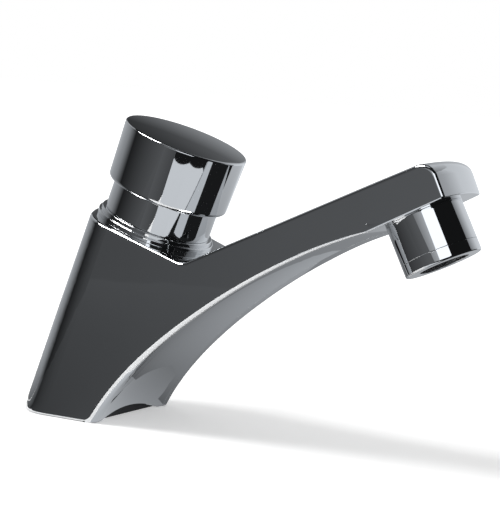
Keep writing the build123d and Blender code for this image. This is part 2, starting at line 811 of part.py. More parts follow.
def make_button():
    """The hollow chromed push button with its crowned top and threaded boss."""
    inner = neck_radius + guide_clearance
    crown_radius = (button_radius ** 2 + button_crown ** 2) / (2 * button_crown)
    crown_rise = crown_radius - math.sqrt(crown_radius ** 2 - (button_radius / 2) ** 2)
    crown_start = (button_radius, button_rim_height)
    crown_middle = (button_radius / 2, button_rim_height + button_crown - crown_rise)
    crown_end = (0, button_rim_height + button_crown)
    outline = make_face([
        Line((0, button_inner_top), (inner, button_inner_top)),
        Line((inner, button_inner_top), (inner, button_bottom)),
        Line((inner, button_bottom), (button_bottom_radius, button_bottom)),
        Line((button_bottom_radius, button_bottom), crown_start),
        ThreePointArc(crown_start, crown_middle, crown_end),
        Line(crown_end, (0, button_inner_top)),
    ])
    cap = revolve(Plane.XZ * outline, Axis.Z)
    lowest = picked(cap.edges(), lambda p: p.Z < button_bottom + seat_clearance)
    cap = fillet([edge for edge in lowest if edge.radius > inner + seat_clearance], button_bottom_round)
    rim = picked(cap.edges(), lambda p: abs(p.Z - button_rim_height) < seat_clearance)
    cap = fillet(rim, button_rim_round)
    cap += ring(button_boss_radius, 0, button_boss_bottom, button_inner_top + seat_clearance)
    hole_top = button_thread_end + tail_stickout
    return cap - rod(button_thread_radius + slide_clearance, button_boss_bottom - overrun, hole_top)


def make_nozzle():
    """The chromed outlet nozzle: screwed neck, barrel and socket for the aerator."""
    bottom = aerator_rim_height + aerator_seam
    neck_end = nozzle_length + nozzle_thread_length
    shoulder = bottom + nozzle_socket_depth
    return turned(
        (nozzle_socket_radius, bottom), (outlet_radius - outlet_edge, bottom),
        (outlet_radius, bottom + outlet_edge), (outlet_radius, nozzle_length),
        (nozzle_thread_radius, nozzle_length), (nozzle_thread_radius, neck_end),
        (nozzle_bore_radius, neck_end), (nozzle_bore_radius, shoulder), (nozzle_socket_radius, shoulder),
    )


def make_nozzle_seal():
    """The fibre washer on top of the nozzle's neck."""
    bottom = nozzle_length + nozzle_thread_length
    return ring(nozzle_thread_radius, nozzle_bore_radius, bottom, bottom + nozzle_seal_thickness)


def make_aerator_ring():
    """The chromed aerator ring: visible rim and screwed sleeve."""
    thread = nozzle_socket_radius - thread_clearance
    top = aerator_rim_height + aerator_thread_length
    return turned(
        (aerator_lip_radius, 0), (outlet_radius - outlet_edge, 0), (outlet_radius, outlet_edge),
        (outlet_radius, aerator_rim_height - outlet_edge),
        (outlet_radius - outlet_edge, aerator_rim_height), (thread, aerator_rim_height),
        (thread, top), (aerator_bore_radius, top), (aerator_bore_radius, aerator_lip_height),
        (aerator_lip_radius, aerator_lip_height),
    )


def make_aerator_washer():
    """The rubber washer between the aerator ring and the nozzle's shoulder."""
    bottom = aerator_rim_height + aerator_thread_length
    return ring(nozzle_socket_radius - thread_clearance, nozzle_bore_radius, bottom,
                bottom + aerator_washer_thickness)


def make_insert():
    """The plastic aerator insert with its ring of jets."""
    bottom = aerator_lip_height
    top = bottom + insert_height
    insert = ring(insert_radius, insert_radius - insert_wall, bottom, top)
    insert += rod(insert_radius - insert_wall / 2, top - insert_plate, top)
    jet = Pos(jet_ring_radius, 0, 0) * rod(jet_radius, bottom, top + insert_plate)
    return insert - PolarLocations(0, jet_count) * jet


def make_grille():
    """The round grille at the water's exit, with hexagonally placed holes."""
    bottom = aerator_lip_height + screen_thickness
    plate = rod(insert_radius - insert_wall - seat_clearance, bottom, bottom + grille_thickness)
    hole = rod(grille_hole_radius, bottom - overrun, bottom + grille_thickness + overrun)
    holes = [hole]
    for circle in range(1, grille_rings + 1):
        holes += PolarLocations(circle * grille_pitch, 6 * circle) * hole
    return plate - holes


def make_screen():
    """The steel screen on top of the aerator insert."""
    bottom = aerator_lip_height + insert_height
    return rod(insert_radius, bottom, bottom + screen_thickness)


write(make_tap_body(), "tap_body")
write(make_gasket(), "base_gasket")

write(on_push_axis(make_cartridge_body()), "cartridge_body")
write(make_cartridge_rings(), "cartridge_o_rings")
write(on_push_axis(make_filter_sleeve()), "filter_sleeve")
write(on_push_axis(make_timing_cup()), "timing_cup")
write(on_push_axis(make_timing_pin()), "timing_pin")
bleed_top = bleed_bottom + bleed_filter_thickness
write(on_push_axis(rod(bleed_filter_radius, bleed_bottom, bleed_top)), "bleed_filter")
write(on_push_axis(make_spring_wire()), "return_spring")

write(on_push_axis(make_piston()), "piston")
write(on_push_axis(make_lip_seal()), "piston_lip_seal")
write(on_push_axis(ring(washer_radius, tail_bore, washer_bottom, washer_top)), "valve_washer")
nut_top = piston_spigot_bottom
nut_bottom = nut_top - piston_nut_thickness
write(on_push_axis(hex_nut(piston_nut_flats, tail_bore, nut_bottom, nut_top)), "piston_nut")
write(on_push_axis(make_stem()), "stem")

write(on_push_axis(make_bonnet()), "bonnet")
write(on_push_axis(make_bonnet_ring()), "bonnet_o_ring")
write(on_push_axis(make_bush()), "stem_guide")
ring_middle = stem_o_ring_height + stem_o_ring_groove_width / 2
write(on_push_axis(o_ring(stem_radius + slide_clearance, stem_o_ring_wire, ring_middle)), "stem_o_ring")
write(on_push_axis(make_circlip()), "guide_circlip")
write(on_push_axis(make_trim_ring()), "trim_ring")

write(on_push_axis(make_button()), "push_button")
nut_hole = button_thread_radius + seat_clearance
write(on_push_axis(hex_nut(locknut_flats, nut_hole, stem_shoulder, button_boss_bottom)), "button_locknut")

write(on_outlet_axis(make_nozzle()), "outlet_nozzle")
write(on_outlet_axis(make_nozzle_seal()), "nozzle_seal")
write(on_outlet_axis(make_aerator_ring()), "aerator_ring")
write(on_outlet_axis(make_aerator_washer()), "aerator_washer")
write(on_outlet_axis(make_insert()), "aerator_insert")
write(on_outlet_axis(make_grille()), "aerator_grille")
write(on_outlet_axis(make_screen()), "aerator_screen")
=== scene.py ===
import bmesh
import bpy
import numpy as np
from mathutils import Matrix


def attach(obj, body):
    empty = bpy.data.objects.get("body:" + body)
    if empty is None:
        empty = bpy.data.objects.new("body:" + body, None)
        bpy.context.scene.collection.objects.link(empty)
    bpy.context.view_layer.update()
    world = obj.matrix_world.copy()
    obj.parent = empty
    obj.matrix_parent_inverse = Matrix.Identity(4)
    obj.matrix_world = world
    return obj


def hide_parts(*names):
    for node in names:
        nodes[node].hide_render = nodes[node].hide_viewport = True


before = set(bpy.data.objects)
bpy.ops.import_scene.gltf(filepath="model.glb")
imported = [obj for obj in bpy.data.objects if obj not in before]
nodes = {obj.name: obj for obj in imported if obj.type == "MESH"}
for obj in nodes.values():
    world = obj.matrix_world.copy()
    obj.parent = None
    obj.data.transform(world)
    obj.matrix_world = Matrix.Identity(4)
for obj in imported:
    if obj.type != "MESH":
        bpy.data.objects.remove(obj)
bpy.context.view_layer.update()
mm = 0.001  # the pieces are drawn in millimetres, and the studio in metres


# The cast brass body: foot, leaning column and hollowed spout in one piece.
# It is ground and buffed by hand, then nickel and chrome plated, so its mirror
# is a little clouded and keeps a slow ripple from the buffing wheel.
def bare_material(name, metallic=0.0):
    """A new material, with its tree, its shader and the place on the piece."""
    material = bpy.data.materials.new(name)
    material.use_nodes = True
    tree = material.node_tree
    surface = tree.nodes["Principled BSDF"]
    surface.inputs["Metallic"].default_value = metallic
    place = tree.nodes.new("ShaderNodeTexCoord").outputs["Object"]
    return material, tree, surface, place


def noise(tree, place, scale, detail):
    """A soft noise, from nought to one, that has the scale's number of swells a metre."""
    texture = tree.nodes.new("ShaderNodeTexNoise")
    texture.inputs["Scale"].default_value = scale
    texture.inputs["Detail"].default_value = detail
    tree.links.new(place, texture.inputs["Vector"])
    return texture.outputs["Fac"]


def vary(tree, value, surface, roughness, tones, reach=(0.0, 1.0)):
    """While the value goes through its reach, the roughness and the tone go evenly
    from their first figure to their second."""
    gloss = tree.nodes.new("ShaderNodeMapRange")
    gloss.inputs["From Min"].default_value = reach[0]
    gloss.inputs["From Max"].default_value = reach[1]
    gloss.inputs["To Min"].default_value = roughness[0]
    gloss.inputs["To Max"].default_value = roughness[1]
    tree.links.new(value, gloss.inputs["Value"])
    tree.links.new(gloss.outputs["Result"], surface.inputs["Roughness"])
    shade = tree.nodes.new("ShaderNodeValToRGB")
    for element, position, tone in zip(shade.color_ramp.elements, reach, tones):
        element.position = position
        element.color = (*tone, 1.0)
    tree.links.new(value, shade.inputs["Fac"])
    tree.links.new(shade.outputs["Color"], surface.inputs["Base Color"])


def emboss(tree, value, surface, strength, depth):
    """Stands the value up in relief, by the depth where it is one."""
    bump = tree.nodes.new("ShaderNodeBump")
    bump.inputs["Strength"].default_value = strength
    bump.inputs["Distance"].default_value = depth
    tree.links.new(value, bump.inputs["Height"])
    tree.links.new(bump.outputs["Normal"], surface.inputs["Normal"])


def chrome_plate(name, haze, ripple, depth):
    """Mirror metal. Slow clouds of noise turn the gloss from haze to twice haze and
    the tone by a few hundredths, and a noise of the ripple's size, in metres, lifts
    the surface by the depth."""
    material, tree, metal, place = bare_material(name, metallic=1.0)
    clouds = noise(tree, place, cloud_share / ripple, 4.0)
    vary(tree, clouds, metal, (haze, 2 * haze), (0.96 * chrome_tone, chrome_tone), cloud_reach)
    emboss(tree, noise(tree, place, 1 / ripple, 1.0), metal, 1.0, depth)
    return material


def finish_node(node, material):
    """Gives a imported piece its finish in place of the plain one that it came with."""
    for slot in nodes[node].material_slots:
        slot.material = material


chrome_tone = np.array((0.80, 0.81, 0.82))
cloud_share = 0.4
cloud_reach = (0.3, 0.7)
body_chrome = chrome_plate("body_chrome", 0.022, 16 * mm, 0.05 * mm)
finish_node("tap_body", body_chrome)


# The two long lips of the spout's underside belong to the same casting. They are
# dressed on a belt, so each flank runs down to a rounded bead beside the hollow.
flank_half_width = 24.7
flank_taper = 0.078  # of the way towards the tip
flank_cover = 2.75  # how far up the flank the lip's skin reaches
flank_cover_end = 0.5
flank_skin = 0.008  # how far that skin stands off the casting
lip_width = 3.88  # from the flank to the edge of the hollow
lip_overlap = 0.015
lip_root = 0.6
lip_core = ((1.6, 1.6), (0.6, 3.0))  # two places inside the casting, inwards and up
lip_crease = 0.6  # the angle past which an edge is shaded sharp
floor_gap = 0.03
bead_places = (0.0, 0.2, 0.45, 0.7, 0.9, 1.0)  # shares of the arch
bead_radii = (2.2, 1.9, 1.4, 1.1, 0.8, 0.5)
bead_drops = (0.1, 0.5, 1.2, 1.3, 0.8, 0.0)
bead_lead = 0.2
bead_steps = 13
arch_points = np.array(((16.4, 0.0), (30.769, 30.814), (80.582, 65.754), (105.81, 72.044)))
arch_start = -0.03
arch_rows = 240
outlet_lean = np.radians(28.7)
land_course = np.array((np.cos(outlet_lean), np.sin(outlet_lean)))
land_length = 6.5
land_rows = 12


def lip_path():
    """The corner under a flank, seen from the side: first a cubic curve, whose points
    are weighted by powers of the share gone and the share left, and then the outlet's
    straight land, into which the course turns evenly. Gives the share of the curve,
    the place, the course and how far up the flank the lip's skin reaches."""
    share = np.linspace(arch_start, 1.0, arch_rows)[:, None]
    rest = 1 - share
    weights = (rest ** 3, 3 * rest ** 2 * share, 3 * rest * share ** 2, share ** 3)
    slopes = (-rest ** 2, rest ** 2 - 2 * rest * share, 2 * rest * share - share ** 2, share ** 2)
    arch = np.concatenate(weights, 1) @ arch_points
    course = np.concatenate(slopes, 1) @ arch_points
    course /= np.linalg.norm(course, axis=1, keepdims=True)
    ahead = np.linspace(1 / land_rows, 1, land_rows)[:, None]
    land = arch_points[-1] + ahead * land_length * land_course
    turning = (1 - ahead) * course[-1] + ahead * land_course
    fading = flank_cover + (flank_cover_end - flank_cover) * ahead
    return (
        np.concatenate((share, np.ones_like(ahead))),
        np.concatenate((arch, land)),
        np.concatenate((course, turning)),
        np.concatenate((np.full_like(share, flank_cover), fading)),
    )


def lip_bead(side):
    """Rings of points along one lip. Each ring goes down the flank, past the underside
    by the bead's drop, round an arc, back up to the edge of the hollow in a straight
    line, and home inside the casting."""
    share, place, heading, cover = lip_path()
    run, rise = heading.T
    course = np.stack((run, -side * flank_taper * run, rise), -1)
    course /= np.linalg.norm(course, axis=1, keepdims=True)
    flank = np.array((flank_taper, side, 0.0)) / np.hypot(1, flank_taper)
    under = np.stack((rise, 0 * rise, -run), -1)
    under /= np.linalg.norm(under, axis=1, keepdims=True)
    up = side * np.cross(course, flank)
    hollow_edge = lip_width * side * np.cross(under, course)
    edge_in = -(hollow_edge * flank).sum(1)[:, None]
    edge_up = (hollow_edge * up).sum(1)[:, None]
    radius = np.interp(share, bead_places, bead_radii)
    drop = np.interp(share, bead_places, bead_drops)
    turn = np.pi / 2 + np.arctan2(edge_up + drop, edge_in)
    centre_up = radius / np.tan((np.pi - turn) / 2) - drop
    x, z = place.T
    corner = np.stack((x, side * (flank_half_width - flank_taper * x), z), -1)

    def at(inwards, upwards):
        return corner - (inwards - flank_skin) * flank + upwards * up

    arc = [at(radius - radius * np.cos(swing * turn), centre_up - radius * np.sin(swing * turn))
           for swing in np.linspace(0, 1, bead_steps)]
    ring = [at(0, cover), at(0, centre_up + bead_lead), *arc, at(edge_in, edge_up - lip_overlap),
            at(edge_in, edge_up + lip_root), *(at(*core) for core in lip_core)]
    rings = np.stack(ring, 1)
    rings[..., 2] = np.maximum(rings[..., 2], floor_gap)
    return rings * mm


def outward(mesh, merge_distance=None):
    """Merges a mesh's doubles, where asked, and turns all its faces outwards."""
    form = bmesh.new()
    form.from_mesh(mesh)
    if merge_distance:
        bmesh.ops.remove_doubles(form, verts=form.verts, dist=merge_distance)
    bmesh.ops.recalc_face_normals(form, faces=form.faces)
    form.to_mesh(mesh)
    form.free()
    mesh.shade_smooth()


lip_points = np.stack((lip_bead(-1), lip_bead(1)))
lip_here = np.arange(lip_points.size // 3).reshape(lip_points.shape[:3])
lip_beside = np.roll(lip_here, -1, 2)
lip_faces = np.stack((lip_here[:, :-1], lip_here[:, 1:], lip_beside[:, 1:], lip_beside[:, :-1]), -1)
lip_ends = np.concatenate((lip_here[:, 0], lip_here[:, -1]))
lips_mesh = bpy.data.meshes.new("lips")
lips_mesh.from_pydata(lip_points.reshape(-1, 3).tolist(), [],
                      lip_faces.reshape(-1, 4).tolist() + lip_ends.tolist())
outward(lips_mesh)
lips_mesh.set_sharp_from_angle(angle=lip_crease)
lips_mesh.materials.append(body_chrome)
lips = bpy.data.objects.new("lips", lips_mesh)
bpy.context.collection.objects.link(lips)
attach(lips, "tap")


# The rubber seal under the foot is moulded in one piece with the tongue that
# closes the arched relief at the front. Its skin is matt and slightly uneven.
def rubber(name, tone, grain_size):
    """Matt rubber: one fine noise of the grain's size spreads the tone and the
    roughness, and stands up in relief."""
    material, tree, skin, place = bare_material(name)
    skin.inputs["Specular IOR Level"].default_value = 0.35
    grain = noise(tree, place, 1 / grain_size, 5.0)
    vary(tree, grain, skin, (0.45, 0.7), (0.6 * tone, 1.5 * tone))
    emboss(tree, grain, skin, 0.25, 0.04 * mm)
    return material


black_rubber = rubber("black_rubber", np.array((0.018, 0.018, 0.02)), mm / 0.9)
for node in ("base_gasket", "cartridge_o_rings", "piston_lip_seal", "valve_washer",
             "bonnet_o_ring", "stem_o_ring", "aerator_washer"):
    finish_node(node, black_rubber)


# The valve parts inside are turned on a lathe: brass for the cartridge, piston
# and timing pin, stainless steel for the stem, spring, clip, nuts and screens.
push_lean = np.radians(18.23)
push_direction = np.array((np.sin(push_lean), 0.0, np.cos(push_lean)))


def turned_metal(name, tone, pitch):
    """Lathe-turned metal: the distance along the push axis, over the pitch, feeds a
    one-way noise, whose lines roughen the surface and cut into it."""
    material, tree, metal, place = bare_material(name, metallic=1.0)
    feed = tree.nodes.new("ShaderNodeVectorMath")
    feed.operation = "DOT_PRODUCT"
    feed.inputs[1].default_value = push_direction / pitch
    tree.links.new(place, feed.inputs[0])
    lines = tree.nodes.new("ShaderNodeTexNoise")
    lines.noise_dimensions = "1D"
    lines.inputs["Scale"].default_value = 1.0
    lines.inputs["Detail"].default_value = 3.0
    tree.links.new(feed.outputs["Value"], lines.inputs["W"])
    vary(tree, lines.outputs["Fac"], metal, (0.18, 0.42), (0.85 * tone, tone))
    emboss(tree, lines.outputs["Fac"], metal, 0.3, 0.01 * mm)
    return material


valve_brass = turned_metal("valve_brass", np.array((0.72, 0.53, 0.24)), 0.25 * mm)
for node in ("cartridge_body", "piston", "timing_pin"):
    finish_node(node, valve_brass)

stainless = turned_metal("stainless", np.array((0.62, 0.62, 0.61)), 0.18 * mm)
for node in ("filter_sleeve", "bleed_filter", "return_spring", "piston_nut", "stem",
             "guide_circlip", "button_locknut", "aerator_screen"):
    finish_node(node, stainless)


# The timing cup and the stem guide are turned from white acetal, and the water
# grille and its insert are moulded in dark grey plastic with a fine satin grain.
def plastic(name, tone, roughness, grain_size):
    """Moulded or machined plastic: one noise of the grain's size varies the tone a
    little, spreads the roughness between its two figures and stands up in relief."""
    material, tree, skin, place = bare_material(name)
    skin.inputs["IOR"].default_value = 1.48
    grain = noise(tree, place, 1 / grain_size, 4.0)
    vary(tree, grain, skin, roughness, (0.88 * tone, tone))
    emboss(tree, grain, skin, 0.2, 0.02 * mm)
    return material


white_acetal = plastic("white_acetal", np.array((0.86, 0.86, 0.83)), (0.3, 0.45), 0.8 * mm)
for node in ("timing_cup", "stem_guide"):
    finish_node(node, white_acetal)

grey_plastic = plastic("grey_plastic", np.array((0.045, 0.045, 0.05)), (0.45, 0.65), 0.4 * mm)
for node in ("aerator_insert", "aerator_grille"):
    finish_node(node, grey_plastic)

red_fibre = plastic("red_fibre", np.array((0.45, 0.12, 0.09)), (0.6, 0.85), 0.25 * mm)
finish_node("nozzle_seal", red_fibre)


# The bonnet is a turned brass neck, screwed into the body and chromed. The push
# button slides down over it, and its lower edge clamps the trim ring.
def rounded(corners, rounds, steps=8, support=0.1):
    """A closed section with its corners rounded. Each corner gives up a tangent
    length of its radius over the tangent of half its angle to an arc, swept evenly
    between the two sides, and a point beside each arc keeps the flats flat."""
    corners = np.array(corners, float)
    radii = np.array(rounds, float)[:, None]
    before = np.roll(corners, 1, 0) - corners
    after = np.roll(corners, -1, 0) - corners
    before /= np.linalg.norm(before, axis=1, keepdims=True)
    after /= np.linalg.norm(after, axis=1, keepdims=True)
    cosine = np.clip((before * after).sum(1, keepdims=True), -1.0, 1.0)
    half = np.arccos(cosine) / 2
    tangent = radii / np.tan(half)
    middle = before + after
    middle /= np.linalg.norm(middle, axis=1, keepdims=True)
    centre = corners + middle * radii / np.sin(half)
    first = corners + before * tangent - centre
    last = corners + after * tangent - centre
    share = np.linspace(0, 1, steps)[None, :, None]
    swing = (np.pi - 2 * half)[:, None]
    arc = np.sin((1 - share) * swing) * first[:, None] + np.sin(share * swing) * last[:, None]
    arc = centre[:, None] + arc / np.sin(swing)
    lead = corners + before * (tangent + support)
    tail = corners + after * (tangent + support)
    return np.concatenate((lead[:, None], arc, tail[:, None]), 1).reshape(-1, 2)


def turned(name, section, axis, sides=256):
    """A turned piece: every point of the closed section, given as radius and height in
    millimetres, goes round the axis in even steps. Points on the axis close up."""
    turn = np.linspace(0, 2 * np.pi, sides, endpoint=False)[:, None]
    radius, height = section.T
    rings = np.stack((radius * np.cos(turn), radius * np.sin(turn), height + 0 * turn), -1)
    points = (rings.reshape(-1, 3) * mm) @ axis[:3, :3].T + axis[:3, 3]
    here = np.arange(sides * len(section)).reshape(sides, -1)
    beside = np.roll(here, -1, 0)
    above = np.roll(here, -1, 1)
    across = np.roll(beside, -1, 1)
    faces = np.stack((here, beside, across, above), -1).reshape(-1, 4)
    off_axis = radius + np.roll(radius, -1) > 0
    faces = faces[np.tile(off_axis, sides)]
    mesh = bpy.data.meshes.new(name)
    mesh.from_pydata(points.tolist(), [], faces.tolist())
    outward(mesh, merge_distance=0.0001 * mm)
    piece = bpy.data.objects.new(name, mesh)
    bpy.context.collection.objects.link(piece)
    return piece


push_axis = np.eye(4)
push_axis[:3, 0] = (np.cos(push_lean), 0.0, -np.sin(push_lean))
push_axis[:3, 2] = push_direction
neck_radius = 18.0
neck_top = 86.0
neck_rim_bore = 15.2
neck_thread_radius = 16.4
neck_bore = 13.0
neck_foot = 55.7
ring_groove_radius = 14.7
ring_groove_foot = 57.3
ring_groove_top = 59.5
clamp_height = 69.95
deck_foot = 72.0
deck_top = 77.0
deck_bore = 7.05
neck_section = rounded(
    ((neck_bore, neck_foot), (neck_thread_radius, neck_foot),
     (neck_thread_radius, ring_groove_foot), (ring_groove_radius, ring_groove_foot),
     (ring_groove_radius, ring_groove_top), (neck_thread_radius, ring_groove_top),
     (neck_thread_radius, clamp_height), (neck_radius, clamp_height),
     (neck_radius, neck_top), (neck_rim_bore, neck_top), (neck_rim_bore, deck_top),
     (deck_bore, deck_top), (deck_bore, deck_foot), (neck_bore, deck_foot)),
    (0.2, 0.3, 0.2, 0.1, 0.1, 0.2, 0.05, 0.1, 0.6, 0.3, 0.3, 0.2, 0.2, 0.5),
)
neck = turned("neck", neck_section, push_axis)
neck_chrome = chrome_plate("neck_chrome", 0.014, 24 * mm, 0.01 * mm)
neck.data.materials.append(neck_chrome)
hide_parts("bonnet")
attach(neck, "tap")


# The trim ring is a thin turned washer with one step, chromed, and clamped on
# the flat top of the body. Its edges are only just broken, so they catch light.
trim_bore = 16.6
trim_radius = 20.0
trim_step_radius = 19.2
trim_foot = 67.0
trim_step = 68.6
trim_top = 69.9
trim_section = rounded(
    ((trim_bore, trim_foot), (trim_radius, trim_foot), (trim_radius, trim_step),
     (trim_step_radius, trim_step), (trim_step_radius, trim_top), (trim_bore, trim_top)),
    (0.1, 0.1, 0.28, 0.1, 0.28, 0.1),
)
trim = turned("trim", trim_section, push_axis)
trim_chrome = chrome_plate("trim_chrome", 0.018, 12 * mm, 0.004 * mm)
trim.data.materials.append(trim_chrome)
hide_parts("trim_ring")
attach(trim, "tap")


# The push button is a turned brass cap, hollow underneath, with a boss that is
# screwed on the stem. Its skirt widens a little upwards, and its top is crowned.
# The section's last corner, on the axis, gives way to the arc of the crown.
rim_radius = 21.0
rim_height = 99.5
skirt_radius = 20.42
skirt_bore = 18.35
skirt_foot = 79.8
roof_height = 96.5
boss_radius = 6.5
boss_foot = 88.0
boss_bore = 3.05
boss_bore_top = 95.4
crown = 0.9
crown_radius = (rim_radius ** 2 + crown ** 2) / (2 * crown)
rim_slope = np.arcsin(rim_radius / crown_radius)
crown_rows = 40
skirt_section = rounded(
    ((0.0, boss_bore_top), (boss_bore, boss_bore_top), (boss_bore, boss_foot),
     (boss_radius, boss_foot), (boss_radius, roof_height), (skirt_bore, roof_height),
     (skirt_bore, skirt_foot), (skirt_radius, skirt_foot), (rim_radius, rim_height),
     (0.0, rim_height + rim_radius * np.tan(rim_slope))),
    (0.0, 0.1, 0.2, 0.3, 0.6, 0.6, 0.3, 1.4, 0.6, 0.0),
)
skirt_rows = len(skirt_section) * 9 // 10
crown_reach = np.linspace(skirt_section[skirt_rows - 1, 0], 0.0, crown_rows)[1:]
crown_rise = rim_height + crown - crown_radius + np.sqrt(crown_radius ** 2 - crown_reach ** 2)
button_section = np.vstack((skirt_section[:skirt_rows], np.stack((crown_reach, crown_rise), -1)))
button = turned("button", button_section, push_axis)
button_chrome = chrome_plate("button_chrome", 0.014, 22 * mm, 0.012 * mm)
button.data.materials.append(button_chrome)
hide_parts("push_button")
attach(button, "button")


# The outlet nozzle is a turned and chromed socket, screwed up into the spout,
# with the aerator ring screwed into it from below and a fine seam between them.
outlet_axis = np.eye(4)
outlet_axis[:3, 0] = (np.cos(outlet_lean), 0.0, np.sin(outlet_lean))
outlet_axis[:3, 2] = (-np.sin(outlet_lean), 0.0, np.cos(outlet_lean))
outlet_axis[:3, 3] = (125.63 * mm, 0.0, 63.74 * mm)
outlet_radius = 12.4
seam_height = 3.9
seam_gap = 0.05
land_height = 16.8
socket_bore = 10.6
socket_roof = 10.95
spigot_radius = 9.4
spigot_top = 23.6
spigot_bore = 8.2
nozzle_section = rounded(
    ((socket_bore, seam_height + seam_gap), (outlet_radius, seam_height + seam_gap),
     (outlet_radius, land_height), (spigot_radius, land_height), (spigot_radius, spigot_top),
     (spigot_bore, spigot_top), (spigot_bore, socket_roof), (socket_bore, socket_roof)),
    (0.1, 0.08, 0.1, 0.1, 0.4, 0.2, 0.2, 0.2),
)
nozzle = turned("nozzle", nozzle_section, outlet_axis)
nozzle_chrome = chrome_plate("nozzle_chrome", 0.014, 14 * mm, 0.02 * mm)
nozzle.data.materials.append(nozzle_chrome)
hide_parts("outlet_nozzle")
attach(nozzle, "tap")

mouth_radius = 8.0
mouth_lip = 1.2
aerator_bore = 8.6
aerator_thread_radius = 10.5
aerator_top = 9.5
aerator_section = rounded(
    ((mouth_radius, 0.0), (outlet_radius, 0.0), (outlet_radius, seam_height),
     (aerator_thread_radius, seam_height), (aerator_thread_radius, aerator_top),
     (aerator_bore, aerator_top), (aerator_bore, mouth_lip), (mouth_radius, mouth_lip)),
    (0.15, 0.6, 0.08, 0.1, 0.2, 0.1, 0.05, 0.15),
)
aerator = turned("aerator", aerator_section, outlet_axis)
aerator_chrome = chrome_plate("aerator_chrome", 0.016, 14 * mm, 0.015 * mm)
aerator.data.materials.append(aerator_chrome)
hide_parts("aerator_ring")
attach(aerator, "tap")


# The studio: a white floor and backdrop, and a ring of pale and black boards
# round the tap that the camera doesn't see and the polished metal does.
sheet_columns = 49
sheet_rows = 17
sheet_tint = np.array((0.96, 1.0, 1.05, 1.0))
hub = 0.04
wall = (0.4, 0.4)
floor_paper = (0.0006, 0.0006)
low_paper = (0.0003, 0.0003)
board_glow = bpy.data.materials.new("board_glow")
board_glow.use_nodes = True
board_tree = board_glow.node_tree
board_tree.nodes.clear()
board_level = board_tree.nodes.new("ShaderNodeVertexColor")
board_level.layer_name = "glow"
board_light = board_tree.nodes.new("ShaderNodeEmission")
board_out = board_tree.nodes.new("ShaderNodeOutputMaterial")
board_tree.links.new(board_level.outputs["Color"], board_light.inputs["Color"])
board_tree.links.new(board_light.outputs["Emission"], board_out.inputs["Surface"])


def spread(corners):
    """Values that run evenly over a sheet between its corners, near edge first. One
    number for an edge stands for both of its ends."""
    across = np.linspace(0, 1, sheet_columns)[:, None]
    along = np.linspace(0, 1, sheet_rows)[None, :]
    near, far = np.broadcast_to(np.array(corners, float).reshape(2, -1), (2, 2))
    near_edge = near[0] + (near[1] - near[0]) * across
    far_edge = far[0] + (far[1] - far[0]) * across
    return near_edge * (1 - along) + far_edge * along


def glowing(name, x, y, z, levels):
    """A sheet of light that only mirrors see, with its level at each corner."""
    here = np.arange(sheet_columns * sheet_rows).reshape(sheet_columns, sheet_rows)
    faces = np.stack((here[:-1, :-1], here[1:, :-1], here[1:, 1:], here[:-1, 1:]), -1)
    points = np.stack((x, y, z), -1)
    mesh = bpy.data.meshes.new(name)
    mesh.from_pydata(points.reshape(-1, 3).tolist(), [], faces.reshape(-1, 4).tolist())
    glow = mesh.color_attributes.new("glow", "FLOAT_COLOR", "POINT")
    colour = spread(levels).reshape(-1, 1) * sheet_tint
    glow.data.foreach_set("color", colour.ravel())
    mesh.materials.append(board_glow)
    sheet = bpy.data.objects.new(name, mesh)
    bpy.context.collection.objects.link(sheet)
    sheet.visible_camera = False
    sheet.visible_diffuse = False
    sheet.visible_shadow = False


def board(name, azimuths, radii, heights, levels):
    """A board bent round the hub: its azimuth, in degrees, runs evenly across it."""
    turn = np.radians(spread((azimuths, azimuths)))
    reach = spread(radii)
    glowing(name, hub + reach * np.cos(turn), reach * np.sin(turn), spread(heights), levels)


def paper(name, x, y, levels):
    """A paper on the floor between four corners."""
    glowing(name, spread(x), spread(y), spread(floor_paper), levels)


def paper_row(names, near, far, levels):
    """Papers side by side between a near and a far row of corners, one to a name."""
    for first, name in enumerate(names):
        corners = np.array((near[first:first + 2], far[first:first + 2]))
        paper(name, corners[..., 0], corners[..., 1], levels[first])


# The wall goes round from a dark flag at the camera's left, past the grey and white
# cards beside it and a black flag at its right, to the pale screens at the back, and
# fades to black again at the left.
board("grey_flag", (-147, -97), wall, (0.0, 0.6), ((0.03, 0.1), (0.03, 0.09)))
board("grey_low", (-97, -66), wall, (0.0, 0.1), ((0.1, 0.13), (0.1, 0.13)))
board("grey_card", (-97, -66), wall, (0.1, 0.3), ((0.1, 0.45), (0.1, 0.45)))
board("black_low", (-66, -36), wall, (0.0, 0.1), (0.015, 0.015))
board("white_card", (-66, -36), wall, (0.1, 0.3), (1.3, 1.3))
board("card_head", (-97, -36), wall, (0.3, 0.6), (0.015, 0.015))
board("black_flag", (-36, 25), wall, (0.0, 0.6), (0.008, 0.008))
board("right_screen", (25, 55), wall, (0.0, 0.35), ((0.25, 0.75), (0.2, 0.6)))
board("rear_screen", (55, 88), wall, (0.0, 0.35), ((0.75, 0.85), (0.6, 0.6)))
board("right_head", (25, 88), wall, (0.35, 0.6), ((0.15, 0.6), (0.1, 0.5)))
board("back_low", (88, 140), wall, (0.0, 0.15), ((0.9, 0.6), (0.6, 0.2)))
board("back_screen", (88, 108), wall, (0.15, 0.6), ((0.6, 0.35), (0.5, 0.1)))
board("back_head", (108, 124), wall, (0.15, 0.26), ((0.45, 0.16), (0.12, 0.03)))
board("back_dark", (108, 124), wall, (0.26, 0.37), ((0.12, 0.03), (0.02, 0.008)))
board("back_corner", (124, 140), wall, (0.15, 0.37), ((0.16, 0.1), (0.008, 0.008)))
board("back_top", (108, 140), wall, (0.37, 0.6), (0.008, 0.008))
board("left_screen", (140, 180), wall, (0.0, 0.6), ((0.5, 0.26), (0.5, 0.28)))
board("left_fade", (180, 200), wall, (0.0, 0.6), ((0.26, 0.015), (0.28, 0.015)))
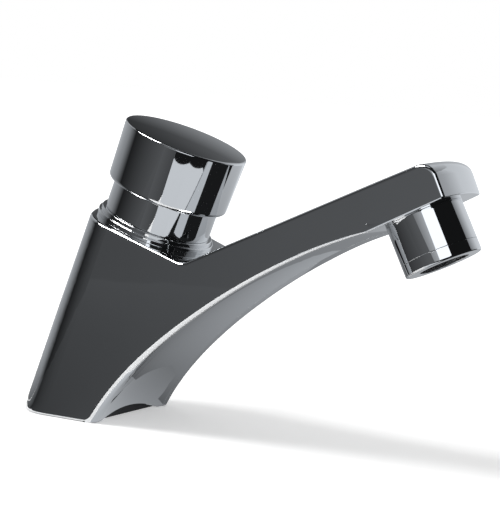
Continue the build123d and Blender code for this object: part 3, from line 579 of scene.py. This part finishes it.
board("left_flag", (200, 213), wall, (0.0, 0.6), ((0.015, 0.03), (0.015, 0.03)))

# A black ceiling, with the pale card in it that the flat tops mirror.
board("ceiling", (-180, 180), (0.4, 0.001), (0.6, 0.72), (0.015, 0.015))
board("ceiling_card", (-100, -12), (0.22, 0.02), (0.64, 0.7), (0.7, 0.7))

# Papers on the floor: grey in front, where the flanks look, and a pale panel to the
# right of it with black beyond, which stands upright in the button and the neck.
paper("front_paper", ((-0.04, 0.013), (-0.62, -0.04)), ((-0.0278, -0.0245), (-0.24, -0.62)),
      ((0.02, 0.068), (0.03, 0.12)))
board("middle_paper", (-102, -78), (0.2, 0.4), low_paper, ((0.11, 0.07), (0.11, 0.07)))
panel_near = ((0.063, -0.108), (0.104, -0.077), (0.119, -0.032), (0.12, -0.004))
panel_far = ((0.092, -0.244), (0.151, -0.132), (0.172, -0.053), (0.165, -0.0065))
fall_far = ((0.127, -0.411), (0.31, -0.322), (0.429, -0.157), (0.46, -0.022))
paper_row(("panel_paper", "panel_side", "panel_end"), panel_near, panel_far,
          ((0.66, 0.7), (0.68, 0.7), (0.68, 0.7)))
paper_row(("near_fall", "front_fall", "end_fall"), panel_far, fall_far,
          ((0.01, 0.01), (0.01, 0.01), (0.01, 0.01)))
board("right_fall", (-3, 50), (0.09, 0.4), floor_paper, (0.01, 0.01))

# Papers behind and beside the foot, which the hollow under the spout mirrors. The
# small black one draws the dark line down the nozzle.
board("back_near", (50, 140), (0.028, 0.07), floor_paper, ((0.42, 0.13), (0.45, 0.06)))
board("back_paper", (50, 140), (0.07, 0.4), floor_paper, ((0.3, 0.06), (0.9, 0.35)))
board("left_paper", (140, 185), (0.07, 0.4), floor_paper, ((0.4, 0.14), (0.5, 0.2)))
board("left_dark", (185, 204), (0.07, 0.42), low_paper, ((0.14, 0.01), (0.2, 0.01)))
board("sill_paper", (85, 262), (0.0, 0.034), low_paper, ((0.13, 0.45), (0.13, 0.65)))
board("sill_shade", (104, 152), (0.0, 0.0228), floor_paper, (0.008, 0.008))

floor_mesh = bpy.data.meshes.new("floor")
floor_half = 6.0
floor_corners = [(-floor_half, -floor_half, 0.0), (floor_half, -floor_half, 0.0),
                 (floor_half, floor_half, 0.0), (-floor_half, floor_half, 0.0)]
floor_mesh.from_pydata(floor_corners, [], [(0, 1, 2, 3)])
floor = bpy.data.objects.new("floor", floor_mesh)
bpy.context.collection.objects.link(floor)
floor_paint = bpy.data.materials.new("floor_paint")
floor_paint.use_nodes = True
floor_tree = floor_paint.node_tree
floor_shader = floor_tree.nodes["Principled BSDF"]
floor_shader.inputs["Base Color"].default_value = (0.86, 0.86, 0.86, 1.0)
floor_shader.inputs["Roughness"].default_value = 0.9
floor_shader.inputs["Specular IOR Level"].default_value = 0.0
floor_shader.inputs["Emission Color"].default_value = (1.0, 1.0, 1.0, 1.0)
floor_rays = floor_tree.nodes.new("ShaderNodeLightPath")
floor_place = floor_tree.nodes.new("ShaderNodeNewGeometry")
floor_reach = floor_tree.nodes.new("ShaderNodeVectorMath")
floor_reach.operation = "LENGTH"
floor_tree.links.new(floor_place.outputs["Position"], floor_reach.inputs[0])
floor_fade = floor_tree.nodes.new("ShaderNodeMapRange")
floor_fade.inputs["From Min"].default_value = 0.15
floor_fade.inputs["From Max"].default_value = 0.7
floor_fade.inputs["To Min"].default_value = 0.35
floor_fade.inputs["To Max"].default_value = 1.0
floor_tree.links.new(floor_reach.outputs["Value"], floor_fade.inputs["Value"])
floor_lift = floor_tree.nodes.new("ShaderNodeMath")
floor_lift.operation = "MULTIPLY"
floor_tree.links.new(floor_fade.outputs["Result"], floor_lift.inputs[1])
floor_tree.links.new(floor_rays.outputs["Is Camera Ray"], floor_lift.inputs[0])
floor_tree.links.new(floor_lift.outputs["Value"], floor_shader.inputs["Emission Strength"])
floor_mesh.materials.append(floor_paint)

studio = bpy.data.worlds.new("studio")
studio.use_nodes = True
bpy.context.scene.world = studio
studio_tree = studio.node_tree
sky = studio_tree.nodes["Background"]
sky.inputs["Color"].default_value = (1.0, 1.0, 1.0, 1.0)
sky_rays = studio_tree.nodes.new("ShaderNodeLightPath")
seen = studio_tree.nodes.new("ShaderNodeMath")
seen.operation = "MAXIMUM"
seen_clear = studio_tree.nodes.new("ShaderNodeMath")
seen_clear.operation = "MAXIMUM"
sky_level = studio_tree.nodes.new("ShaderNodeMapRange")
sky_level.inputs["To Min"].default_value = 0.55
sky_level.inputs["To Max"].default_value = 1.0
studio_tree.links.new(sky_rays.outputs["Is Camera Ray"], seen.inputs[0])
studio_tree.links.new(sky_rays.outputs["Is Glossy Ray"], seen.inputs[1])
studio_tree.links.new(seen.outputs["Value"], seen_clear.inputs[0])
studio_tree.links.new(sky_rays.outputs["Is Transmission Ray"], seen_clear.inputs[1])
studio_tree.links.new(seen_clear.outputs["Value"], sky_level.inputs["Value"])
studio_tree.links.new(sky_level.outputs["Result"], sky.inputs["Strength"])

soft_box = bpy.data.lights.new("soft_box", "AREA")
soft_box.shape = "RECTANGLE"
soft_box.size = 0.31
soft_box.size_y = 0.25
soft_box.energy = 3.0
soft_lamp = bpy.data.objects.new("soft_box", soft_box)
soft_lamp.location = (-0.14, -0.16, 0.58)
soft_lamp.rotation_euler = (-0.27, -0.24, 0.0)
bpy.context.collection.objects.link(soft_lamp)


# The camera stands in front and to the right, a little above the spout, and is
# tipped a few degrees, as the photograph's is.
yaw, pitch, tip = np.radians((28.89, 6.27, 4.0))
aim = np.array((0.05804, 0.0, 0.05694))
distance = 0.5632
back = np.array((np.sin(yaw) * np.cos(pitch), -np.cos(yaw) * np.cos(pitch), np.sin(pitch)))
right = np.array((np.cos(yaw), np.sin(yaw), 0.0))
up = np.cross(back, right)
stand = np.eye(4)
stand[:3, 0] = right * np.cos(tip) + up * np.sin(tip)
stand[:3, 1] = up * np.cos(tip) - right * np.sin(tip)
stand[:3, 2] = back
stand[:3, 3] = aim + distance * back
lens = bpy.data.cameras.new("camera")
lens.lens = 119.56
lens.sensor_width = 36.0
lens.clip_start = 0.01
camera = bpy.data.objects.new("camera", lens)
camera.matrix_world = Matrix(stand.tolist())
bpy.context.collection.objects.link(camera)
bpy.context.scene.camera = camera
bpy.context.scene.view_settings.view_transform = "Standard"
